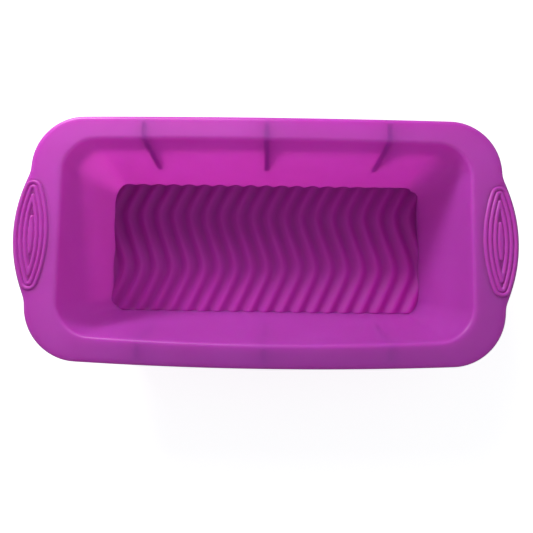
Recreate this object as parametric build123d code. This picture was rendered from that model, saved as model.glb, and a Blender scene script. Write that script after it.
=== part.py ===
from build123d import *

import os
from math import sqrt

# Silicone soap loaf mould: a drafted tub with a wave-ribbed floor, a wide rim and a leaf grip on each end.
# Frame: millimetres, origin at the middle of the underside, +X along the length, +Y across, +Z up.
# The real mould is one silicone moulding. It is modelled as its moulded members, which meet face to face.

# Overall sizes
RIM_HEIGHT = 61.5          # crown of the rim above the table
TAB_SPAN = 275.0           # over both grip tabs
RIM_LENGTH = 258.8         # over the rim, without the tabs
RIM_WIDTH = 132.2          # over the rim at its corners
RIM_CORNER = 28.0
OPENING_LENGTH = 223.4
OPENING_WIDTH = 105.8
OPENING_CORNER = 18.0
FLOOR_LENGTH = 207.2
FLOOR_WIDTH = 86.0
FLOOR_CORNER = 8.5
SIDE_BOW = 2.7             # how far the long sides bulge out at mid length, at the rim

# Thicknesses and edges
BASE_THICK = 2.5
WALL_THICK = 2.0
RIM_THICK = 2.5
RIM_DROP = 0.8             # fall of the rim from its crown to the ends of the tabs
CROWN_MARGIN = 2.5         # level band round the opening
LIP_THICK = 2.2            # the turned-down outer edge
LIP_DEPTH = 5.5            # from the crown to the bottom of that edge
BASE_EDGE = 2.0            # outside radius between the base and the walls
RIM_EDGE = 2.0             # radius along the rim's outer top edge
OPENING_EDGE = 0.8         # radius along the edge of the opening

# Wave ribs on the floor
RIB_PITCH = 10.667
RIB_NUMBERS = range(-10, 10)
RIB_WIDTH = 8.8
RIB_RISE = 1.8
RIB_TAPER = 40.0           # slope of a rib's sides from upright, in degrees
WAVE_RADIUS = 16.0
WAVE_NEAR, WAVE_FAR = -14.0, 22.3      # where across the floor the wave turns
WAVE_RIGHT, WAVE_LEFT = 13.1, 1.7      # how far along it stands at those turns
WAVE_SLOPE = 0.46                      # along per across, on its outer legs

# Grip tabs, each with nested leaf-shaped beads
LEAF_CENTRE = 126.7        # from the middle of the mould to the middle of a leaf
LEAF_HALF_LENGTH = 25.0    # of the leaf that the second groove outlines
LEAF_HALF_WIDTH = 4.4
BEAD_PITCH = 2.6
BEAD_GROOVE = 0.5
BEAD_TIP_RADIUS = 0.9      # of the outer tips of the two innermost beads
BEAD_RISE = 0.9
BEAD_TAPER = 25.0          # slope of a bead's sides from upright, in degrees
TAB_MARGIN = 1.2           # tab edge outside the outermost bead
TAB_ROOT = 115.0           # where a tab begins, from the middle of the mould
TAB_BLEND = 7.0            # hollow radius where a tab runs into the rim's end

# Gussets under the rim
GUSSET_PLACES = (-68.0, 0.0, 68.0)
GUSSET_THICK = 2.2
GUSSET_FOOT = 22.5         # height at which a gusset's foot meets the wall
GUSSET_NOSE = 56.5         # height of its outer end

# Planes that part the straight members from the corner members
SPLIT_X = 94.5
SPLIT_Y = 35.2

FAR = 400.0                # beyond the mould on every side

LEAF_ARC = (LEAF_HALF_LENGTH**2 + LEAF_HALF_WIDTH**2) / (2 * LEAF_HALF_WIDTH)
LEAF_OFFSET = LEAF_ARC - LEAF_HALF_WIDTH
TAB_ARC = LEAF_ARC + 2 * BEAD_PITCH + TAB_MARGIN


def region(x_range, y_range, z_range=(-FAR, FAR)):
    """A block between the given planes, for cutting members out."""
    ranges = (x_range, y_range, z_range)
    middle = [(low + high) / 2 for low, high in ranges]
    return Pos(*middle) * Box(*[high - low for low, high in ranges])


def tray_face(length, width, radius, bow=0.0):
    """A rounded rectangle whose long sides bulge outwards by bow."""
    x, y = length / 2, width / 2
    if bow:
        front = ThreePointArc((-x, -y), (0, -y - bow), (x, -y))
        back = ThreePointArc((x, y), (0, y + bow), (-x, y))
    else:
        front = Line((-x, -y), (x, -y))
        back = Line((x, y), (-x, y))
    face = make_face([front, Line((x, -y), (x, y)), back, Line((-x, y), (-x, -y))])
    return fillet(face.vertices(), radius)


def between(low_face, low_z, high_face, high_z):
    """The straight-sided solid between two level outlines."""
    return loft([Pos(0, 0, low_z) * low_face, Pos(0, 0, high_z) * high_face], ruled=True)


def upright(face, low_z, high_z):
    """The prism on a level outline."""
    return extrude(Pos(0, 0, low_z) * face, amount=high_z - low_z, dir=(0, 0, 1))


# ---- Tub: the cavity, the outside block, and the members between them ----

def cavity():
    """The room inside the mould, from the floor to the rim."""
    floor = tray_face(FLOOR_LENGTH, FLOOR_WIDTH, FLOOR_CORNER)
    opening = tray_face(OPENING_LENGTH, OPENING_WIDTH, OPENING_CORNER, SIDE_BOW)
    return between(floor, BASE_THICK, opening, RIM_HEIGHT)


def tub_block():
    """The outside of the tub, solid, from the table to the rim."""
    grow = 2 * WALL_THICK
    foot = tray_face(FLOOR_LENGTH + grow, FLOOR_WIDTH + grow, FLOOR_CORNER + WALL_THICK)
    head = tray_face(OPENING_LENGTH + grow, OPENING_WIDTH + grow, OPENING_CORNER + WALL_THICK, SIDE_BOW)
    block = between(foot, 0, head, RIM_HEIGHT)
    return fillet(block.edges().group_by(Axis.Z)[0], BASE_EDGE)


# ---- Rim: a crowned plate with a turned-down edge ----

def rim_face(inset=0.0):
    """The rim's outline with both grip tabs, drawn in by inset."""
    face = tray_face(RIM_LENGTH - 2 * inset, RIM_WIDTH - 2 * inset, RIM_CORNER - inset, SIDE_BOW)
    end = RIM_LENGTH / 2 - inset
    tab_zone = Rectangle(TAB_SPAN / 2, RIM_WIDTH - 2 * RIM_CORNER)
    for side in (-1, 1):
        tab = Pos(side * (TAB_SPAN / 2 - TAB_ARC), 0) * Circle(TAB_ARC - inset)
        face = face + (tab & (Pos(side * TAB_SPAN / 4, 0) * tab_zone))
    tab_half = sqrt((TAB_ARC - inset)**2 - (end - TAB_SPAN / 2 + TAB_ARC)**2)
    hollows = [v for v in face.vertices() if abs(abs(v.X) - end) < 0.01 and abs(abs(v.Y) - tab_half) < 0.01]
    return fillet(hollows, TAB_BLEND + inset)


def under_crown(lower=0.0):
    """Everything under the rim's crowned top, lowered by the given amount."""
    margin = 2 * CROWN_MARGIN
    crown = tray_face(OPENING_LENGTH + margin, OPENING_WIDTH + margin, OPENING_CORNER + CROWN_MARGIN, SIDE_BOW)
    overhang = TAB_SPAN - OPENING_LENGTH
    skirt = tray_face(TAB_SPAN, OPENING_WIDTH + overhang, OPENING_CORNER + overhang / 2, SIDE_BOW)
    top = RIM_HEIGHT - lower
    return between(skirt, top - RIM_DROP, crown, top) + upright(skirt, 0, top - RIM_DROP)


def rim_hollow():
    """The room under the rim, inside its turned-down edge."""
    return upright(rim_face(LIP_THICK), 0, RIM_HEIGHT) & under_crown(RIM_THICK)


def rim_ring():
    """The whole rim with its tabs, before it is parted."""
    bottom = RIM_HEIGHT - LIP_DEPTH
    plate = upright(rim_face(), bottom, RIM_HEIGHT) & under_crown()
    top_edges = [edge for face in plate.faces() if face.normal_at().Z > 0.9 for edge in face.edges()]
    outside = [edge for edge in top_edges if sum(edge.is_same(other) for other in top_edges) == 1]
    plate = fillet(outside, RIM_EDGE)
    ring = plate - rim_hollow() - cavity()
    opening = [edge for edge in ring.edges() if is_opening_edge(edge)]
    return fillet(opening, OPENING_EDGE)


def is_opening_edge(edge):
    """Whether an edge is part of the opening's top edge."""
    level = edge.bounding_box().min.Z > RIM_HEIGHT - 0.01
    middle = edge.center()
    return level and abs(middle.X) < OPENING_LENGTH / 2 + 1 and abs(middle.Y) < OPENING_WIDTH / 2 + SIDE_BOW + 1


# ---- Floor: wave ribs standing on the base ----

def wave_line():
    """One rib's middle line: three straight legs with rounded turns."""
    reach_near = WAVE_RIGHT - WAVE_SLOPE * (WAVE_NEAR + FLOOR_WIDTH / 2)
    reach_far = WAVE_LEFT + WAVE_SLOPE * (FLOOR_WIDTH / 2 - WAVE_FAR)
    points = [
        (reach_near, -FLOOR_WIDTH / 2),
        (WAVE_RIGHT, WAVE_NEAR),
        (WAVE_LEFT, WAVE_FAR),
        (reach_far, FLOOR_WIDTH / 2),
    ]
    return FilletPolyline(*points, radius=WAVE_RADIUS)


def wave_ribs():
    """All the ribs, cut to the floor's outline. A rib's sides lean in to a narrower top."""
    line = wave_line()
    shift = RIB_WIDTH / 2
    right, left = Pos(shift, 0) * line, Pos(-shift, 0) * line
    ends = [Line(left @ 0, right @ 0), Line(right @ 1, left @ 1)]
    band = make_face([*right.edges(), *left.edges(), *ends])
    rib = extrude(band, amount=RIB_RISE, dir=(0, 0, 1), taper=RIB_TAPER)
    floor = upright(tray_face(FLOOR_LENGTH, FLOOR_WIDTH, FLOOR_CORNER), BASE_THICK, BASE_THICK + RIB_RISE)
    ribs = []
    for number in RIB_NUMBERS:
        ribs.extend((Pos(number * RIB_PITCH, 0, BASE_THICK) * rib & floor).solids())
    return ribs


# ---- Grip beads: a leaf with three leaf-shaped rings round it, standing on each tab ----

def leaf_face(grow, tip_radius):
    """The leaf grown by a distance. Its tips are rounded to a radius, or pointed when that is 0."""
    arc = LEAF_ARC + grow - tip_radius
    half_length = sqrt(arc**2 - LEAF_OFFSET**2)
    side = LEAF_HALF_WIDTH + grow
    if tip_radius == 0:
        return make_face([
            ThreePointArc((0, -half_length), (side, 0), (0, half_length)),
            ThreePointArc((0, half_length), (-side, 0), (0, -half_length)),
        ])
    share = tip_radius / arc
    turn_x, turn_y = LEAF_OFFSET * share, half_length * (1 + share)
    tip = half_length + tip_radius
    return make_face([
        ThreePointArc((turn_x, -turn_y), (side, 0), (turn_x, turn_y)),
        ThreePointArc((turn_x, turn_y), (0, tip), (-turn_x, turn_y)),
        ThreePointArc((-turn_x, turn_y), (-side, 0), (-turn_x, -turn_y)),
        ThreePointArc((-turn_x, -turn_y), (0, -tip), (turn_x, -turn_y)),
    ])


def grip_beads(side):
    """The three rings and the middle leaf on the tab at one end, lying in the slope of the rim's crown."""
    gap = BEAD_GROOVE / 2
    outlines = [2 * BEAD_PITCH, BEAD_PITCH, 0, -BEAD_PITCH]
    beads = []
    for number, outer in enumerate(outlines):
        face = leaf_face(outer - gap, max(outer - gap, BEAD_TIP_RADIUS))
        bead = extrude(face, amount=BEAD_RISE, dir=(0, 0, 1), taper=BEAD_TAPER)
        if number < len(outlines) - 1:
            inner_grow = outlines[number + 1] + gap
            inner = leaf_face(inner_grow, max(inner_grow, 0))
            bead = bead - extrude(inner, amount=BEAD_RISE, dir=(0, 0, 1), taper=-BEAD_TAPER)
        beads.append(bead)
    crown_end = OPENING_LENGTH / 2 + CROWN_MARGIN
    run = TAB_SPAN / 2 - crown_end
    fall = RIM_DROP * (LEAF_CENTRE - crown_end) / run
    slope = Plane(origin=(side * LEAF_CENTRE, 0, RIM_HEIGHT - fall), x_dir=(run, 0, -side * RIM_DROP),
                  z_dir=(side * RIM_DROP, 0, run))
    return [slope.location * bead for bead in beads]


# ---- Gussets: webs between the walls and the rim ----

def gussets(side, tub, hollow):
    """The three triangular webs under the rim along one long side."""
    webs = []
    wall = FLOOR_WIDTH / 2
    edge = RIM_WIDTH / 2 + SIDE_BOW
    for place in GUSSET_PLACES:
        profile = Plane.YZ * make_face(Polyline(
            (side * wall, GUSSET_FOOT), (side * edge, GUSSET_NOSE), (side * edge, RIM_HEIGHT),
            (side * wall, RIM_HEIGHT), close=True))
        web = Pos(place, 0, 0) * extrude(profile, amount=GUSSET_THICK / 2, both=True)
        webs.append((web & hollow) - tub)
    return webs


# ---- Assembly: part the tub and the rim into their members, and write each one ----

SPAN_X, SPAN_Y = (-SPLIT_X, SPLIT_X), (-SPLIT_Y, SPLIT_Y)
ENDS_X = {"left": (-FAR, -SPLIT_X), "right": (SPLIT_X, FAR)}
ENDS_Y = {"front": (-FAR, -SPLIT_Y), "back": (SPLIT_Y, FAR)}


def zones():
    """The eight upright zones round the middle of the mould, by name."""
    named = {name: region(SPAN_X, y_range) for name, y_range in ENDS_Y.items()}
    named |= {name: region(x_range, SPAN_Y) for name, x_range in ENDS_X.items()}
    for y_name, y_range in ENDS_Y.items():
        for x_name, x_range in ENDS_X.items():
            named[f"{y_name}_{x_name}"] = region(x_range, y_range)
    return named


def members():
    """Every node's solids, by name."""
    block = tub_block()
    rim = rim_ring()
    above_base = region((-FAR, FAR), (-FAR, FAR), (BASE_THICK, FAR))
    wall_zone = region((-FAR, FAR), (-FAR, FAR), (BASE_THICK, RIM_HEIGHT - RIM_THICK))
    walls = (block & wall_zone) - cavity()
    tab_zones = {"left": region((-FAR, -TAB_ROOT), SPAN_Y), "right": region((TAB_ROOT, FAR), SPAN_Y)}
    nodes = {"base_panel": block - above_base, "wave_ribs": wave_ribs()}
    for name, zone in zones().items():
        ending = "_corner" if "_" in name else ""
        nodes[f"{name}_wall{ending}"] = walls & zone
        nodes[f"{name}_rim{ending}"] = rim & zone
    for side, name in ((-1, "left"), (1, "right")):
        end_rim = nodes[f"{name}_rim"]
        nodes[f"{name}_rim"] = end_rim - tab_zones[name]
        nodes[f"{name}_grip_tab"] = end_rim & tab_zones[name]
        nodes[f"{name}_grip_beads"] = grip_beads(side)
    for side, name in ((-1, "front"), (1, "back")):
        nodes[f"{name}_gussets"] = gussets(side, block, rim_hollow())
    return nodes


os.makedirs("parts", exist_ok=True)
for node, shapes in members().items():
    shapes = shapes if isinstance(shapes, list) else [shapes]
    solids = [solid for shape in shapes for solid in shape.solids()]
    export_step(Compound(solids), f"parts/{node}.step")
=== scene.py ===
from math import cos, hypot, pi, radians, sin, sqrt

import bmesh
import bpy
from mathutils import Euler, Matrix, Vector
from mathutils.bvhtree import BVHTree


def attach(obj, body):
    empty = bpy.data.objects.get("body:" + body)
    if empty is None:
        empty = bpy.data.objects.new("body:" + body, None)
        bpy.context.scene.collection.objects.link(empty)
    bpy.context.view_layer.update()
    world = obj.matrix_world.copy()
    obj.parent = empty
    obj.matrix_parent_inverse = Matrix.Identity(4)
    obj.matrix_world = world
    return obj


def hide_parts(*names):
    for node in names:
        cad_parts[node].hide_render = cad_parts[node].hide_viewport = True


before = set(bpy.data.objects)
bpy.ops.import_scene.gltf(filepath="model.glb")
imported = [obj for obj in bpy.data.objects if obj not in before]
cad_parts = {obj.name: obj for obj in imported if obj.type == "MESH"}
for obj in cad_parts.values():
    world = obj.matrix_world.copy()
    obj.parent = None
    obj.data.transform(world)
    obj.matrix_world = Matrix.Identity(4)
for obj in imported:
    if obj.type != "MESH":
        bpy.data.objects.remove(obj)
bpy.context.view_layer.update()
scene = bpy.context.scene
MM = 0.001

# ---------------------------------------------------------------------------------------------------------
# The moulding: tub, rim and grip tabs in one skin of silicone.
# The real mould comes out of a two-part tool as a single soft wall about 2 mm thick. It is drafted so that
# the loaf slides out, its rim is crowned with a turned-down edge, and each end runs out into a grip tab.

RIM_CROWN = 61.5           # height of the rim's crown, mm
RIM_HALF_LENGTH = 129.4
RIM_HALF_WIDTH = 66.1
RIM_CORNER = 28.0
MOUTH_HALF_LENGTH = 111.7
MOUTH_HALF_WIDTH = 52.9
MOUTH_CORNER = 18.0
FLOOR_HALF_LENGTH = 103.6
FLOOR_HALF_WIDTH = 43.0
FLOOR_CORNER = 8.5
BOW_FRONT = 4.0            # the soft long sides bulge out, the front more than the back
BOW_BACK = 1.4

BASE_THICK = 2.5
WALL_THICK = 2.0
RIM_THICK = 2.5
RIM_FALL = 0.4             # how far the rim falls from its crown to its outer edge
LIP_THICK = 2.4
LIP_BOTTOM = 56.0
MOUTH_EDGE = 1.8           # radii of the edges
RIM_EDGE = 2.6
LIP_EDGE = 1.0
RIM_ROOT = 1.5
FLOOR_EDGE = 1.6
BASE_EDGE = 2.0
FLOOR_SUNK = 0.3           # how far the skin lies under the level of the grooves, below the ribs' own web
FLAT_INSET = 0.6           # share of the floor's corner radius that the flat middle is drawn in by

TAB_REACH = 137.5          # from the middle of the mould to the tip of a tab
TAB_ARC = 79.6
TAB_BLEND = 1.2            # softness of the hollow where a tab meets the end of the rim

# how many stations an outline has along an end, a corner and a side, and how many rings turn an edge
END_STEPS = 60
CORNER_STEPS = 20
SIDE_STEPS = 80
EDGE_STEPS = 6


def outline(half_length, half_width, corner, bow=0.0, tab=None):
    """Stations round a level outline, anticlockwise from the right end's front corner. bow is a share of the
    full bulge of the long sides. tab is how far in from the tabs' own edge the outline lies."""
    flat_x, flat_y = half_length - corner, half_width - corner
    points = [(half_length, -flat_y + 2 * flat_y * i / END_STEPS) for i in range(END_STEPS)]
    for i in range(CORNER_STEPS):
        turn = pi / 2 * i / CORNER_STEPS
        points.append((flat_x + corner * cos(turn), flat_y + corner * sin(turn)))
    points += [(flat_x - 2 * flat_x * i / SIDE_STEPS, half_width) for i in range(SIDE_STEPS)]
    for i in range(CORNER_STEPS):
        turn = pi / 2 * i / CORNER_STEPS
        points.append((-flat_x - corner * sin(turn), flat_y + corner * cos(turn)))
    points += [(-x, -y) for x, y in points]
    shaped = []
    for x, y in points:
        if tab is not None and abs(y) < half_width:
            arc = TAB_ARC - tab
            reach = TAB_REACH - TAB_ARC + sqrt(max(arc * arc - y * y, 0.0))
            wide = (abs(x) + reach + hypot(abs(x) - reach, TAB_BLEND)) / 2
            x = wide if x > 0 else -wide
        bulge = BOW_BACK if y > 0 else BOW_FRONT
        swell = max(0.0, 1 - (x / half_length) ** 2) * min(1.0, (y / half_width) ** 2)
        shaped.append((x, y + (bulge if y > 0 else -bulge) * swell * bow))
    return shaped


def ring(stations, height):
    """An outline's stations at one height."""
    return [Vector((x, y, height)) for x, y in stations]


def between(low, high, share):
    """A ring that lies a share of the way from one ring to another."""
    return [a.lerp(b, share) for a, b in zip(low, high)]


def rounded(before, corner, after, radius):
    """Rings that turn from one face of the profile into the next."""
    turned = []
    for i in range(EDGE_STEPS + 1):
        share = i / EDGE_STEPS
        row = []
        for a, c, b in zip(before, corner, after):
            start = c + (a - c).normalized() * radius
            end = c + (b - c).normalized() * radius
            row.append(start * (1 - share) ** 2 + c * (2 * share * (1 - share)) + end * share ** 2)
        turned.append(row)
    return turned


def moulding_profile():
    """The profile's corner rings, from the middle of the floor over the rim to the middle of the underside,
    each with its radius and the number of steps to the next."""
    edge = RIM_CROWN - RIM_FALL
    rim = (RIM_HALF_LENGTH, RIM_HALF_WIDTH, RIM_CORNER)
    inner_rim = [size - LIP_THICK for size in rim]
    head = (MOUTH_HALF_LENGTH + WALL_THICK, MOUTH_HALF_WIDTH + WALL_THICK, MOUTH_CORNER + WALL_THICK)
    foot = (FLOOR_HALF_LENGTH + WALL_THICK, FLOOR_HALF_WIDTH + WALL_THICK, FLOOR_CORNER + WALL_THICK)
    floor = (FLOOR_HALF_LENGTH, FLOOR_HALF_WIDTH, FLOOR_CORNER)
    floor_middle = [size - FLAT_INSET * FLOOR_CORNER for size in floor]
    foot_middle = [size - FLAT_INSET * FLOOR_CORNER for size in foot]
    mouth = (MOUTH_HALF_LENGTH, MOUTH_HALF_WIDTH, MOUTH_CORNER)
    sunk = BASE_THICK - FLOOR_SUNK
    return [
        (ring(outline(*floor_middle), sunk), 0, 2),
        (ring(outline(*floor), sunk), FLOOR_EDGE, 16),
        (ring(outline(*mouth, bow=1), RIM_CROWN), MOUTH_EDGE, 14),
        (ring(outline(*rim, bow=1, tab=0), edge), RIM_EDGE, 2),
        (ring(outline(*rim, bow=1, tab=0), LIP_BOTTOM), LIP_EDGE, 1),
        (ring(outline(*inner_rim, bow=1, tab=LIP_THICK), LIP_BOTTOM), LIP_EDGE, 1),
        (ring(outline(*inner_rim, bow=1, tab=LIP_THICK), edge - RIM_THICK), RIM_ROOT, 6),
        (ring(outline(*head, bow=1), RIM_CROWN - RIM_THICK), RIM_ROOT, 14),
        (ring(outline(*foot), 0), BASE_EDGE, 2),
        (ring(outline(*foot_middle), 0), 0, 0),
    ]


def moulding_rings():
    """All the rings of the skin, with the profile's corners turned and its long faces divided."""
    corners = moulding_profile()
    rings = [corners[0][0]]
    for i in range(1, len(corners)):
        stations, radius, _ = corners[i]
        before = corners[i - 1][0]
        steps = corners[i - 1][2]
        turn = rounded(before, stations, corners[i + 1][0], radius) if radius else [stations]
        start = rings[-1]
        rings += [between(start, turn[0], step / steps) for step in range(1, steps)]
        rings += turn
    return rings


def closed_skin(name, rings):
    """A closed mesh of level rings with a flat face at each end."""
    mesh = bpy.data.meshes.new(name)
    count = len(rings[0])
    points = [point * MM for row in rings for point in row]
    faces = []
    for row in range(len(rings) - 1):
        for i in range(count):
            j = (i + 1) % count
            low, high = row * count, (row + 1) * count
            faces.append((low + i, high + i, high + j, low + j))
    faces.append(tuple(range(count)))
    faces.append(tuple(reversed(range((len(rings) - 1) * count, len(rings) * count))))
    mesh.from_pydata(points, [], faces)
    mesh.validate()
    mesh.shade_smooth()
    piece = bpy.data.objects.new(name, mesh)
    scene.collection.objects.link(piece)
    return piece


moulding = closed_skin("moulding", moulding_rings())


# ---------------------------------------------------------------------------------------------------------
# The silicone itself: a soft, translucent magenta rubber with a fine matte skin from the blasted tool.
# Light soaks in and comes out of a thin wall again, which is why the lit wall glows and its webs show dark.

CLOUD_SIZE = 0.03          # of the slow changes of tone, metres
GRAIN_SIZE = 0.0004        # of the blasted tool's grain, metres
GRAIN_DEPTH = 0.00003
DUST_COLOUR = (0.62, 0.36, 0.55, 1)
DUST_ROUGHNESS = 0.2
LIGHT_PATHS = (1.0, 0.52, 0.72)    # how deep red, green and blue light soak in, against red
SILICONE_IOR = 1.41

# where each noise starts and ends, and what it becomes there
CLOUD_RANGE = (0.35, 0.65, 0.0, 1.0)
SPECK_RANGE = (0.70, 0.76, 0.0, 1.0)
PATCH_RANGE = (0.45, 0.6, 0.2, 1.0)
GRAIN_RANGE = (0.3, 0.7, -0.06, 0.06)


def silicone_group():
    """Shared surface of the moulding: a clouded colour, a painted shade that darkens it towards a lower
    height, a matte grain and a little settled dust."""
    group = bpy.data.node_groups.new("silicone_surface", "ShaderNodeTree")
    sockets = group.interface
    for name, kind, value in (
        ("Colour", "NodeSocketColor", (0.5, 0.1, 0.4, 1)),
        ("Cloud Colour", "NodeSocketColor", (0.4, 0.1, 0.3, 1)),
        ("Cloud Size", "NodeSocketFloat", CLOUD_SIZE),
        ("Grain Size", "NodeSocketFloat", GRAIN_SIZE),
        ("Roughness", "NodeSocketFloat", 0.5),
        ("Dust", "NodeSocketFloat", 0.3),
        ("Painted Shade Colour", "NodeSocketColor", (0.4, 0.1, 0.3, 1)),
        ("Full Painted Shade Height", "NodeSocketFloat", -1.0),
        ("No Painted Shade Height", "NodeSocketFloat", -0.5),
    ):
        sockets.new_socket(name, in_out="INPUT", socket_type=kind).default_value = value
    for name, kind in (
        ("Colour", "NodeSocketColor"),
        ("Roughness", "NodeSocketFloat"),
        ("Height", "NodeSocketFloat"),
    ):
        sockets.new_socket(name, in_out="OUTPUT", socket_type=kind)
    nodes, links = group.nodes, group.links
    given, out = nodes.new("NodeGroupInput"), nodes.new("NodeGroupOutput")
    place = nodes.new("ShaderNodeTexCoord").outputs["Object"]

    def noise(size_socket, detail, stretch=1.0):
        """A noise whose grains have the given size in metres."""
        scale = nodes.new("ShaderNodeMath")
        scale.operation = "DIVIDE"
        scale.inputs[0].default_value = stretch
        links.new(size_socket, scale.inputs[1])
        grain = nodes.new("ShaderNodeTexNoise")
        grain.inputs["Detail"].default_value = detail
        links.new(place, grain.inputs["Vector"])
        links.new(scale.outputs[0], grain.inputs["Scale"])
        return grain.outputs["Fac"]

    def spread(value, limits):
        """The value between the first two limits, stretched to lie between the last two."""
        node = nodes.new("ShaderNodeMapRange")
        for socket, number in zip(("From Min", "From Max", "To Min", "To Max"), limits):
            node.inputs[socket].default_value = number
        links.new(value, node.inputs["Value"])
        return node.outputs["Result"]

    def blend(factor, low, high):
        """Two colours mixed by a mask. The second may be a plain colour."""
        node = nodes.new("ShaderNodeMix")
        node.data_type = "RGBA"
        links.new(factor, node.inputs["Factor"])
        links.new(low, node.inputs[6])
        if isinstance(high, tuple):
            node.inputs[7].default_value = high
        else:
            links.new(high, node.inputs[7])
        return node.outputs[2]

    def maths(operation, first, second):
        """A sum of two sockets or numbers."""
        node = nodes.new("ShaderNodeMath")
        node.operation = operation
        for socket, value in zip(node.inputs, (first, second)):
            if isinstance(value, (int, float)):
                socket.default_value = value
            else:
                links.new(value, socket)
        return node.outputs[0]

    cloud = spread(noise(given.outputs["Cloud Size"], detail=4.0), CLOUD_RANGE)
    grain = noise(given.outputs["Grain Size"], detail=3.0)
    speck = spread(noise(given.outputs["Grain Size"], detail=2.0, stretch=0.4), SPECK_RANGE)
    patch = spread(noise(given.outputs["Cloud Size"], detail=2.0, stretch=0.6), PATCH_RANGE)
    dust = maths("MULTIPLY", maths("MULTIPLY", speck, patch), given.outputs["Dust"])
    clouded = blend(cloud, given.outputs["Colour"], given.outputs["Cloud Colour"])
    # painted shade: below a given height the colour is mixed towards a darker shade colour, fully at the
    # lower height, to darken the floor's grooves
    heights = nodes.new("ShaderNodeSeparateXYZ")
    links.new(place, heights.inputs["Vector"])
    painted_shade_mask = nodes.new("ShaderNodeMapRange")
    links.new(heights.outputs["Z"], painted_shade_mask.inputs["Value"])
    links.new(given.outputs["Full Painted Shade Height"], painted_shade_mask.inputs["From Min"])
    links.new(given.outputs["No Painted Shade Height"], painted_shade_mask.inputs["From Max"])
    painted_shaded = blend(painted_shade_mask.outputs["Result"], given.outputs["Painted Shade Colour"], clouded)
    links.new(blend(dust, painted_shaded, DUST_COLOUR), out.inputs["Colour"])
    rough = maths("ADD", given.outputs["Roughness"], spread(grain, GRAIN_RANGE))
    links.new(maths("ADD", rough, maths("MULTIPLY", dust, DUST_ROUGHNESS)), out.inputs["Roughness"])
    links.new(grain, out.inputs["Height"])
    return group


SURFACE = silicone_group()


def silicone(name, colour, cloud_colour, roughness, dust, light_path):
    """Silicone with its own tone and wear. light_path is how deep red light soaks in, in metres."""
    material = bpy.data.materials.new(name)
    material.use_nodes = True
    nodes, links = material.node_tree.nodes, material.node_tree.links
    shader = nodes["Principled BSDF"]
    surface = nodes.new("ShaderNodeGroup")
    surface.node_tree = SURFACE
    surface.name = "surface"
    surface.inputs["Colour"].default_value = (*colour, 1)
    surface.inputs["Cloud Colour"].default_value = (*cloud_colour, 1)
    surface.inputs["Roughness"].default_value = roughness
    surface.inputs["Dust"].default_value = dust
    relief = nodes.new("ShaderNodeBump")
    relief.inputs["Distance"].default_value = GRAIN_DEPTH
    links.new(surface.outputs["Colour"], shader.inputs["Base Color"])
    links.new(surface.outputs["Roughness"], shader.inputs["Roughness"])
    links.new(surface.outputs["Height"], relief.inputs["Height"])
    links.new(relief.outputs["Normal"], shader.inputs["Normal"])
    shader.subsurface_method = "RANDOM_WALK"
    shader.inputs["Subsurface Weight"].default_value = 1.0
    shader.inputs["Subsurface Radius"].default_value = LIGHT_PATHS
    shader.inputs["Subsurface Scale"].default_value = light_path
    shader.inputs["IOR"].default_value = SILICONE_IOR
    shader.inputs["Specular IOR Level"].default_value = 0.5
    return material


MOULDING_SILICONE = silicone(
    "moulding_silicone",
    colour=(0.71, 0.076, 0.61),
    cloud_colour=(0.67, 0.070, 0.57),
    roughness=0.34,
    dust=0.1,
    light_path=0.020,
)
moulding.data.materials.append(MOULDING_SILICONE)
members = ("wall", "rim")
walls_and_rims = [f"{side}_{member}" for side in ("front", "back", "left", "right") for member in members]
corners = [f"{y}_{x}_{member}_corner"
           for y in ("front", "back") for x in ("left", "right") for member in members]
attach(moulding, "root")
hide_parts("base_panel", *walls_and_rims, *corners, "left_grip_tab", "right_grip_tab")


# ---------------------------------------------------------------------------------------------------------
# The floor's wave ribs: rounded ridges side by side, running across the floor in a soft zigzag. They leave
# their pattern on the loaf's top. They are moulded with the floor, as one web with the ridges on it.

RIB_PITCH = 10.667
RIB_RISE = 2.1
# painted shade: the grooves between the ribs are coloured darker than the crests, standing in for the shade
# that falls in them
RIB_GROOVE_PAINTED_SHADE = (0.60, 0.042, 0.525, 1)  # down in the grooves
WEB_SUNK = 0.6             # how far the web's underside lies below the grooves
WEB_MARGIN = 0.9           # how far it runs into the walls
WEB_COLUMNS, WEB_ROWS = 420, 66
WEB_RAISED = 1.0           # thickness of the flat web before its top is shaped
WELD_REACH = 0.01
WAVE_START = 2.95          # how far the wave is shifted along the floor
WAVE_LEGS = (0.485, -0.418, 0.584)  # slope of each leg, along the floor for each mm across it
WAVE_TURNS = (-14.37, 23.26)        # where the legs meet, across the floor
WAVE_SOFTNESS = 6.98


def geometry_tree(name, inputs):
    """An empty tree of Geometry Nodes with named inputs."""
    tree = bpy.data.node_groups.new(name, "GeometryNodeTree")
    tree.interface.new_socket("Geometry", in_out="INPUT", socket_type="NodeSocketGeometry")
    tree.interface.new_socket("Geometry", in_out="OUTPUT", socket_type="NodeSocketGeometry")
    for label, kind in inputs:
        tree.interface.new_socket(label, in_out="INPUT", socket_type=kind)
    return tree, tree.nodes.new("NodeGroupInput"), tree.nodes.new("NodeGroupOutput")


def tree_maths(tree):
    """A short way of writing sums in a tree: do("ADD", a, b) gives the socket with the result."""
    def do(operation, *values):
        node = tree.nodes.new("ShaderNodeMath")
        node.operation = operation
        for socket, value in zip(node.inputs, values):
            if isinstance(value, (int, float)):
                socket.default_value = value
            else:
                tree.links.new(value, socket)
        return node.outputs[0]
    return do


def finish_tree(tree, geometry, given, out):
    """Turns copies into real geometry, gives it the tree's material and sends it out."""
    real = tree.nodes.new("GeometryNodeRealizeInstances")
    coat = tree.nodes.new("GeometryNodeSetMaterial")
    tree.links.new(geometry, real.inputs["Geometry"])
    tree.links.new(real.outputs["Geometry"], coat.inputs["Geometry"])
    tree.links.new(given.outputs["Material"], coat.inputs["Material"])
    tree.links.new(coat.outputs["Geometry"], out.inputs["Geometry"])


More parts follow.
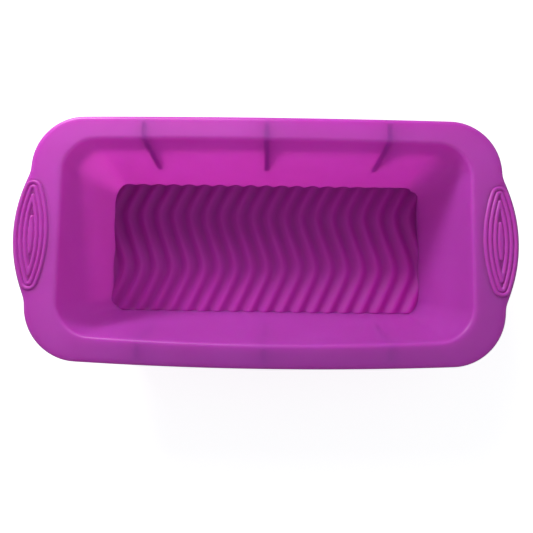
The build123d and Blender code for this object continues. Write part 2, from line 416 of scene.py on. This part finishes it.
def wave_rib_tree():
    """A closed web, fitted to the floor's rounded outline, with its top raised into ribs along the wave."""
    inputs = [(label, "NodeSocketFloat") for label in (
        "Half Length", "Half Width", "Corner", "Bottom", "Groove", "Rise", "Pitch", "Start", "First Leg",
        "Middle Leg", "Last Leg", "First Turn", "Last Turn", "Softness")]
    inputs += [("Columns", "NodeSocketInt"), ("Rows", "NodeSocketInt"), ("Material", "NodeSocketMaterial")]
    tree, given, out = geometry_tree("floor_ribs", inputs)
    nodes, links, do = tree.nodes, tree.links, tree_maths(tree)
    size = given.outputs

    grid = nodes.new("GeometryNodeMeshGrid")
    links.new(do("MULTIPLY", size["Half Length"], 2.0), grid.inputs["Size X"])
    links.new(do("MULTIPLY", size["Half Width"], 2.0), grid.inputs["Size Y"])
    links.new(size["Columns"], grid.inputs["Vertices X"])
    links.new(size["Rows"], grid.inputs["Vertices Y"])
    raise_top = nodes.new("GeometryNodeExtrudeMesh")
    raise_top.inputs["Individual"].default_value = False
    raise_top.inputs["Offset Scale"].default_value = WEB_RAISED * MM
    links.new(grid.outputs["Mesh"], raise_top.inputs["Mesh"])
    turned = nodes.new("GeometryNodeFlipFaces")
    links.new(grid.outputs["Mesh"], turned.inputs["Mesh"])
    together = nodes.new("GeometryNodeJoinGeometry")
    links.new(turned.outputs["Mesh"], together.inputs["Geometry"])
    links.new(raise_top.outputs["Mesh"], together.inputs["Geometry"])
    welded = nodes.new("GeometryNodeMergeByDistance")
    welded.inputs["Distance"].default_value = WELD_REACH * MM
    links.new(together.outputs["Geometry"], welded.inputs["Geometry"])

    place = nodes.new("GeometryNodeInputPosition")
    parts = nodes.new("ShaderNodeSeparateXYZ")
    links.new(place.outputs["Position"], parts.inputs["Vector"])
    x, y, z = parts.outputs
    corner_start = do("SUBTRACT", size["Half Width"], size["Corner"])
    past = do("MAXIMUM", do("SUBTRACT", do("ABSOLUTE", y), corner_start), 0.0)
    corner_squared = do("MULTIPLY", size["Corner"], size["Corner"])
    chord = do("SQRT", do("SUBTRACT", corner_squared, do("MULTIPLY", past, past)))
    reach = do("ADD", do("SUBTRACT", size["Half Length"], size["Corner"]), chord)
    fitted_x = do("MULTIPLY", x, do("DIVIDE", reach, size["Half Length"]))

    def bend(turn, before, after):
        """The part of the wave that turns it from one leg's slope to the next."""
        off = do("SUBTRACT", y, turn)
        length = do("SQRT", do("MULTIPLY_ADD", off, off, do("MULTIPLY", size["Softness"], size["Softness"])))
        return do("MULTIPLY", do("MULTIPLY", do("SUBTRACT", after, before), 0.5), length)

    mean_slope = do("MULTIPLY", do("ADD", size["First Leg"], size["Last Leg"]), 0.5)
    wave = do("MULTIPLY_ADD", mean_slope, y, size["Start"])
    wave = do("ADD", wave, bend(size["First Turn"], size["First Leg"], size["Middle Leg"]))
    wave = do("ADD", wave, bend(size["Last Turn"], size["Middle Leg"], size["Last Leg"]))
    phase = do("DIVIDE", do("SUBTRACT", fitted_x, wave), size["Pitch"])
    swell = do("COSINE", do("MULTIPLY", phase, 2 * pi))
    ridge = do("MULTIPLY", do("MULTIPLY_ADD", swell, 0.5, 0.5), size["Rise"])
    is_top = do("GREATER_THAN", z, WEB_RAISED / 2 * MM)
    top = do("ADD", size["Groove"], ridge)
    height = do("MULTIPLY_ADD", is_top, do("SUBTRACT", top, size["Bottom"]), size["Bottom"])
    moved = nodes.new("ShaderNodeCombineXYZ")
    for value, socket in zip((fitted_x, y, height), moved.inputs):
        links.new(value, socket)
    shaped = nodes.new("GeometryNodeSetPosition")
    links.new(welded.outputs["Geometry"], shaped.inputs["Geometry"])
    links.new(moved.outputs["Vector"], shaped.inputs["Position"])
    smooth = nodes.new("GeometryNodeSetShadeSmooth")
    links.new(shaped.outputs["Geometry"], smooth.inputs["Geometry"])
    finish_tree(tree, smooth.outputs["Geometry"], given, out)
    return tree


def grow(name, start_mesh, tree, values):
    """Runs a tree on a start mesh and keeps the result as a plain mesh."""
    piece = bpy.data.objects.new(name, start_mesh)
    scene.collection.objects.link(piece)
    modifier = piece.modifiers.new(name, "NODES")
    modifier.node_group = tree
    for item in tree.interface.items_tree:
        if item.in_out == "INPUT" and item.name in values:
            modifier[item.identifier] = values[item.name]
    bpy.context.view_layer.update()
    grown = piece.evaluated_get(bpy.context.evaluated_depsgraph_get())
    mesh = bpy.data.meshes.new_from_object(grown)
    mesh.materials.clear()
    mesh.materials.append(values["Material"])
    mesh.polygons.foreach_set("material_index", [0] * len(mesh.polygons))
    piece.modifiers.clear()
    piece.data = mesh
    return piece


RIB_SILICONE = silicone(
    "rib_silicone",
    colour=(0.74, 0.066, 0.66),
    cloud_colour=(0.70, 0.062, 0.62),
    roughness=0.48,
    dust=0.1,
    light_path=0.0015,
)
# painted shade in the grooves: the colour darkens from the ribs' tops down to the level of the grooves
rib_surface = RIB_SILICONE.node_tree.nodes["surface"]
rib_surface.inputs["Painted Shade Colour"].default_value = RIB_GROOVE_PAINTED_SHADE
rib_surface.inputs["Full Painted Shade Height"].default_value = BASE_THICK * MM
rib_surface.inputs["No Painted Shade Height"].default_value = (BASE_THICK + RIB_RISE) * MM
ribs = grow("floor_ribs", bpy.data.meshes.new("floor_ribs_start"), wave_rib_tree(), {
    "Half Length": (FLOOR_HALF_LENGTH + WEB_MARGIN) * MM,
    "Half Width": (FLOOR_HALF_WIDTH + WEB_MARGIN) * MM,
    "Corner": (FLOOR_CORNER + WEB_MARGIN) * MM,
    "Bottom": (BASE_THICK - WEB_SUNK) * MM,
    "Groove": BASE_THICK * MM,
    "Rise": RIB_RISE * MM,
    "Pitch": RIB_PITCH * MM,
    "Start": WAVE_START * MM,
    "First Leg": WAVE_LEGS[0],
    "Middle Leg": WAVE_LEGS[1],
    "Last Leg": WAVE_LEGS[2],
    "First Turn": WAVE_TURNS[0] * MM,
    "Last Turn": WAVE_TURNS[1] * MM,
    "Softness": WAVE_SOFTNESS * MM,
    "Columns": WEB_COLUMNS,
    "Rows": WEB_ROWS,
    "Material": RIB_SILICONE,
})
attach(ribs, "root")
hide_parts("wave_ribs")


# ---------------------------------------------------------------------------------------------------------
# Gussets: three thin triangular webs under the rim along each long side. They stop the soft rim from
# drooping when the mould is full, and show through the lit wall as dark slashes.

GUSSET_COUNT = 3           # on each long side
GUSSET_SPACING = 68.0
GUSSET_THICK = 3.0
GUSSET_FOOT = 21.0         # height of a gusset's foot on the wall
GUSSET_NOSE = 56.4         # height of its outer end, inside the rim's lip
GUSSET_SUNK = 0.5          # how far it is let into the wall and the rim
GUSSET_ROOT = 1.5          # how far its top reaches past the wall's outside, under the rim
GUSSET_DROP = 0.6          # how far its top edge lies below the rim's underside at the lip
GUSSET_EDGE = 0.45
GUSSET_EDGE_STEPS = 3


def wall_outside(height):
    """How far the outside of a long wall stands from the middle of the mould, without its bulge."""
    share = height / (RIM_CROWN - RIM_THICK)
    return FLOOR_HALF_WIDTH + WALL_THICK + (MOUTH_HALF_WIDTH - FLOOR_HALF_WIDTH) * share


def gusset_web(side, bow):
    """One web as a flat plate with softened edges, standing on the wall at mid length."""
    shell = bmesh.new()
    top = RIM_CROWN - RIM_THICK
    lip = RIM_HALF_WIDTH + bow - LIP_THICK
    bulge = bow * GUSSET_FOOT / RIM_CROWN
    profile = [
        (wall_outside(GUSSET_FOOT) + bulge - GUSSET_SUNK, GUSSET_FOOT),
        (lip + GUSSET_SUNK, GUSSET_NOSE),
        (lip + GUSSET_SUNK, top - GUSSET_DROP),
        (wall_outside(top) + bow + GUSSET_ROOT, top + GUSSET_SUNK),
        (wall_outside(top) + bow - GUSSET_SUNK, top + GUSSET_SUNK),
    ]
    half = GUSSET_THICK / 2
    rows = [[shell.verts.new(Vector((x, side * y, z)) * MM) for y, z in profile] for x in (-half, half)]
    shell.faces.new(rows[0])
    shell.faces.new(reversed(rows[1]))
    for i in range(len(profile)):
        j = (i + 1) % len(profile)
        shell.faces.new((rows[0][i], rows[1][i], rows[1][j], rows[0][j]))
    bmesh.ops.recalc_face_normals(shell, faces=shell.faces)
    bmesh.ops.bevel(shell, geom=shell.edges[:], offset=GUSSET_EDGE * MM, segments=GUSSET_EDGE_STEPS,
                    profile=0.5, affect="EDGES")
    mesh = bpy.data.meshes.new("gusset_web")
    shell.to_mesh(mesh)
    shell.free()
    return mesh


def gusset_tree():
    """Stands copies of the web along the wall and lets them follow its bulge."""
    inputs = [("Count", "NodeSocketInt"), ("Spacing", "NodeSocketFloat"), ("Bulge", "NodeSocketFloat"),
              ("Half Length", "NodeSocketFloat"), ("Material", "NodeSocketMaterial")]
    tree, given, out = geometry_tree("gussets", inputs)
    nodes, links, do = tree.nodes, tree.links, tree_maths(tree)
    line = nodes.new("GeometryNodeMeshLine")
    gaps = do("SUBTRACT", given.outputs["Count"], 1.0)
    reach = do("MULTIPLY", do("MULTIPLY", gaps, -0.5), given.outputs["Spacing"])
    start = nodes.new("ShaderNodeCombineXYZ")
    step = nodes.new("ShaderNodeCombineXYZ")
    links.new(reach, start.inputs["X"])
    links.new(given.outputs["Spacing"], step.inputs["X"])
    links.new(given.outputs["Count"], line.inputs["Count"])
    links.new(start.outputs["Vector"], line.inputs["Start Location"])
    links.new(step.outputs["Vector"], line.inputs["Offset"])
    place = nodes.new("GeometryNodeInputPosition")
    parts = nodes.new("ShaderNodeSeparateXYZ")
    links.new(place.outputs["Position"], parts.inputs["Vector"])
    along = do("DIVIDE", parts.outputs["X"], given.outputs["Half Length"])
    back = nodes.new("ShaderNodeCombineXYZ")
    drawn_in = do("MULTIPLY", do("MULTIPLY", do("MULTIPLY", along, along), given.outputs["Bulge"]), -1.0)
    links.new(drawn_in, back.inputs["Y"])
    bent = nodes.new("GeometryNodeSetPosition")
    links.new(line.outputs["Mesh"], bent.inputs["Geometry"])
    links.new(back.outputs["Vector"], bent.inputs["Offset"])
    copies = nodes.new("GeometryNodeInstanceOnPoints")
    links.new(bent.outputs["Geometry"], copies.inputs["Points"])
    links.new(given.outputs["Geometry"], copies.inputs["Instance"])
    finish_tree(tree, copies.outputs["Instances"], given, out)
    return tree


GUSSET_TREE = gusset_tree()
GUSSET_SILICONE = silicone(
    "gusset_silicone",
    colour=(0.62, 0.058, 0.53),
    cloud_colour=(0.58, 0.052, 0.49),
    roughness=0.4,
    dust=0.2,
    light_path=0.002,
)
for place, side, bow in (("front", -1, BOW_FRONT), ("back", 1, BOW_BACK)):
    webs = grow(f"{place}_gusset_webs", gusset_web(side, bow), GUSSET_TREE, {
        "Count": GUSSET_COUNT,
        "Spacing": GUSSET_SPACING * MM,
        "Bulge": side * bow * MM,
        "Half Length": MOUTH_HALF_LENGTH * MM,
        "Material": GUSSET_SILICONE,
    })
    webs.data.shade_smooth()
    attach(webs, "root")
    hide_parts(f"{place}_gussets")


# ---------------------------------------------------------------------------------------------------------
# Grip leaves: on each tab a leaf with rounded beads nested round it, so that wet fingers don't slip. They
# stand a little above the tab and are moulded with it.

LEAF_CENTRE = 126.7
LEAF_HALF_LENGTH = 25.0    # of the leaf that the second groove outlines
LEAF_HALF_WIDTH = 4.4
BEAD_PITCH = 2.6
BEAD_RISE = 0.8
BEAD_GROOVE = 0.5
BEAD_TIP_RADIUS = 0.9      # of the outer tips of the two innermost beads
LEAF_SKIRT = 0.25          # how far the outermost bead's side reaches past its groove line
LEAF_SUNK = 0.7            # how deep the leaf is let into the tab
LEAF_EDGE_SUNK = 0.05      # how far its edge dips under the tab's surface
LEAF_ROWS, LEAF_COLUMNS = 260, 68
BEAD_COUNT = 4             # the middle one is a solid leaf, the others are rings round it
BEADS_OUTSIDE = 2          # how many lie outside the leaf that the sizes above give
BEAD_SHOULDER = 2.4        # powers that give a bead its full, rounded top and steep foot
BEAD_FLANK = 0.6
PROBE_HEIGHT = 80.0        # above everything, where the search for the tab's surface starts
HALVINGS = 40              # of the search for a leaf's width

LEAF_ARC = (LEAF_HALF_LENGTH ** 2 + LEAF_HALF_WIDTH ** 2) / (2 * LEAF_HALF_WIDTH)
LEAF_OFFSET = LEAF_ARC - LEAF_HALF_WIDTH
LEAF_REACH = BEADS_OUTSIDE * BEAD_PITCH + LEAF_SKIRT


def leaf_distance(across, along, grown, tip_radius):
    """How far a point lies outside the leaf grown by a distance, its tips rounded to a radius."""
    arc = LEAF_ARC + grown - tip_radius
    tip = sqrt(arc ** 2 - LEAF_OFFSET ** 2)
    across, along = abs(across) + LEAF_OFFSET, abs(along)
    if along * LEAF_OFFSET > across * tip:
        return hypot(across - LEAF_OFFSET, along - tip) - tip_radius
    return hypot(across, along) - arc - tip_radius


def bead_height(across, along):
    """How high the beads stand over the tab at a point: rounded rings, with pits inside their tips."""
    height = 0.0
    for number in range(BEAD_COUNT):
        outer = (BEADS_OUTSIDE - number) * BEAD_PITCH - BEAD_GROOVE / 2
        depth = -leaf_distance(across, along, outer, max(outer, BEAD_TIP_RADIUS))
        if number < BEAD_COUNT - 1:
            inner = outer - BEAD_PITCH + BEAD_GROOVE
            depth = min(depth, leaf_distance(across, along, inner, max(inner, 0.0)))
        share = min(1.0, max(0.0, depth) / ((BEAD_PITCH - BEAD_GROOVE) / 2))
        height = max(height, BEAD_RISE * (1 - (1 - share) ** BEAD_SHOULDER) ** BEAD_FLANK)
    return height


def leaf_half_width(along):
    """Half the width of the outermost bead at a distance from mid length."""
    low, high = 0.0, LEAF_HALF_WIDTH + LEAF_REACH
    for _ in range(HALVINGS):
        middle = (low + high) / 2
        if leaf_distance(middle, along, LEAF_REACH, LEAF_REACH) < 0:
            low = middle
        else:
            high = middle
    return low


def grip_leaf(name, side, tab_surface):
    """The leaf as a closed mesh lying on the tab, with its beads as its top."""
    tip = LEAF_HALF_LENGTH + LEAF_REACH
    tops, lows = [], []
    for row in range(1, LEAF_ROWS):
        along = -tip * cos(pi * row / LEAF_ROWS)
        wide = leaf_half_width(along)
        at_tip = row in (1, LEAF_ROWS - 1)
        for column in range(LEAF_COLUMNS + 1):
            if at_tip:
                across = -wide * cos(pi * column / LEAF_COLUMNS)
            else:
                across = wide * (2 * column / LEAF_COLUMNS - 1)
            x, y = side * LEAF_CENTRE + across, along
            hit = tab_surface.ray_cast(Vector((x, y, PROBE_HEIGHT)) * MM, Vector((0, 0, -1)))[0]
            ground = hit.z / MM
            edge = at_tip or column in (0, LEAF_COLUMNS)
            rise = -LEAF_EDGE_SUNK if edge else bead_height(across, along)
            tops.append((x, y, ground + rise))
            lows.append((x, y, ground - LEAF_SUNK))
    width = LEAF_COLUMNS + 1
    rows = LEAF_ROWS - 1
    base = len(tops)
    faces = []
    for row in range(rows - 1):
        for column in range(LEAF_COLUMNS):
            a = row * width + column
            faces.append((a, a + 1, a + width + 1, a + width))
            faces.append((base + a + width, base + a + width + 1, base + a + 1, base + a))
    border = list(range(width)) + [row * width + width - 1 for row in range(1, rows)]
    border += [(rows - 1) * width + column for column in range(width - 2, -1, -1)]
    border += [row * width for row in range(rows - 2, 0, -1)]
    for i, a in enumerate(border):
        b = border[(i + 1) % len(border)]
        faces.append((b, a, base + a, base + b))
    mesh = bpy.data.meshes.new(name)
    mesh.from_pydata([Vector(point) * MM for point in tops + lows], [], faces)
    mesh.validate()
    mesh.shade_smooth()
    piece = bpy.data.objects.new(name, mesh)
    scene.collection.objects.link(piece)
    return piece


# painted light: the leaf is coloured lighter than the moulding's silicone, standing in for the light that
# soaks through the thin rim and that the separate leaf, with its short light path, does not gather
LEAF_SILICONE_PAINTED_LIGHTER = silicone(
    "leaf_silicone",
    colour=(0.77, 0.090, 0.69),
    cloud_colour=(0.73, 0.084, 0.65),
    roughness=0.40,
    dust=0.3,
    light_path=0.001,
)
tab_surface = BVHTree.FromObject(moulding, bpy.context.evaluated_depsgraph_get())
for name, side in (("left_grip_leaf", -1), ("right_grip_leaf", 1)):
    leaf = grip_leaf(name, side, tab_surface)
    leaf.data.materials.append(LEAF_SILICONE_PAINTED_LIGHTER)
    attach(leaf, "root")
    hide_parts(name.replace("leaf", "beads"))


# ---------------------------------------------------------------------------------------------------------
# The stand: a plain white table top, two soft lights behind the mould and to the left of it, like panes of
# one window, a pale room all round, and the camera above the middle, tipped a little forward.

TABLE_HALF = 3.0           # metres, as everything in this section
TABLE_GLOW = 0.8           # the table's own white, which only the camera sees
ROOM_LIGHT = 0.26          # what the room gives to the mould
ROOM_WHITE = 0.70          # how much brighter the camera sees the room
LAMP_SIZE = 0.16
LAMP_AIM = (0, 0, 0.03)

table_mesh = bpy.data.meshes.new("table")
table_corners = [(x * TABLE_HALF, y * TABLE_HALF, 0) for x, y in ((-1, -1), (1, -1), (1, 1), (-1, 1))]
table_mesh.from_pydata(table_corners, [], [(0, 1, 2, 3)])
table = bpy.data.objects.new("table", table_mesh)
scene.collection.objects.link(table)
white = bpy.data.materials.new("table_white")
white.use_nodes = True
top_coat = white.node_tree.nodes["Principled BSDF"]
top_coat.inputs["Base Color"].default_value = (0.78, 0.78, 0.78, 1)
top_coat.inputs["Roughness"].default_value = 0.7
top_coat.inputs["Emission Color"].default_value = (1, 1, 1, 1)
table_rays = white.node_tree.nodes.new("ShaderNodeLightPath")
glow = white.node_tree.nodes.new("ShaderNodeMath")
glow.operation = "MULTIPLY"
glow.inputs[1].default_value = TABLE_GLOW
white.node_tree.links.new(table_rays.outputs["Is Camera Ray"], glow.inputs[0])
white.node_tree.links.new(glow.outputs["Value"], top_coat.inputs["Emission Strength"])
table_mesh.materials.append(white)


def soft_light(name, place, power):
    """A square soft light that points at the mould, with its power in watts."""
    lamp = bpy.data.lights.new(name, "AREA")
    lamp.shape = "SQUARE"
    lamp.size = LAMP_SIZE
    lamp.energy = power
    light = bpy.data.objects.new(name, lamp)
    light.location = place
    light.rotation_euler = (Vector(LAMP_AIM) - Vector(place)).to_track_quat("-Z", "Y").to_euler()
    scene.collection.objects.link(light)


soft_light("window", place=(-0.40, 0.53, 0.37), power=2.75)
soft_light("window_pane", place=(-0.10, 0.40, 0.38), power=0.6)
room = bpy.data.worlds.new("room")
room.use_nodes = True
sky = room.node_tree.nodes["Background"]
sky.inputs["Color"].default_value = (0.92, 0.95, 1.0, 1)
room_rays = room.node_tree.nodes.new("ShaderNodeLightPath")
pale = room.node_tree.nodes.new("ShaderNodeMath")
pale.operation = "MULTIPLY_ADD"
pale.inputs[1].default_value = ROOM_WHITE
pale.inputs[2].default_value = ROOM_LIGHT
room.node_tree.links.new(room_rays.outputs["Is Camera Ray"], pale.inputs[0])
room.node_tree.links.new(pale.outputs["Value"], sky.inputs["Strength"])
scene.world = room

lens = bpy.data.cameras.new("camera")
lens.sensor_width = 36.0
lens.lens = 26.64
lens.shift_y = -0.0119
lens.clip_start = 0.01
camera = bpy.data.objects.new("camera", lens)
camera.location = (0.00126, -0.02625, 0.27261)
camera.rotation_euler = Euler((radians(3.85), radians(0.09), radians(0.84)), "XYZ")
scene.collection.objects.link(camera)
scene.camera = camera
scene.view_settings.view_transform = "Standard"
